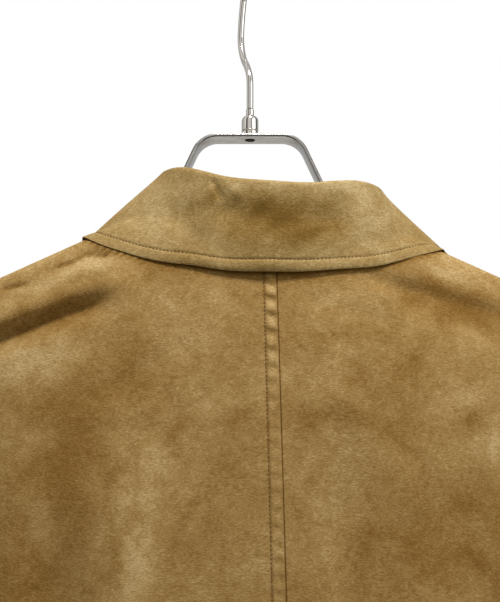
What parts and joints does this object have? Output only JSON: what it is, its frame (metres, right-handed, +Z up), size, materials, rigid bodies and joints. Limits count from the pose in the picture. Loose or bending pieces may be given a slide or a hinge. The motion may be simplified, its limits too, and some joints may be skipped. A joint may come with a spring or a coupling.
{
  "type": "shirt jacket on a hanger",
  "caption": "Suede-like shirt jacket with a folded collar and closed button front, hanging on a bent flat-bar hanger with a wire hook.",
  "frame": {"origin": "inside top of the hook, where a rail bears", "axes": "+Z up, the jacket's front faces -Y and its back +Y, the wearer's left is +X"},
  "size_m": [0.714, 0.1441, 0.9467],
  "materials": {
    "suede": "brushed suede-like nap, cloudy",
    "suede_double": "brushed suede-like nap, two layers, topstitched",
    "hanger_steel": "satin flat bar, polished wire hook and ferrule",
    "button": "horn-like"
  },
  "bodies": {
    "root": {"back_left": "suede", "back_right": "suede", "front_left": "suede", "front_right": "suede", "sleeve_left": "suede", "sleeve_right": "suede", "cuff_left": "suede_double", "cuff_right": "suede_double", "collar_stand": "suede_double", "collar_leaf": "suede_double", "hanger_bar": "hanger_steel", "hanger_ferrule": "hanger_steel", "hanger_hook": "hanger_steel", "button_neck": "button", "button_front_1": "button", "button_front_2": "button", "button_front_3": "button", "button_front_4": "button", "button_front_5": "button", "button_front_6": "button", "button_cuff_left": "button", "button_cuff_right": "button"}
  },
  "joints": []
}
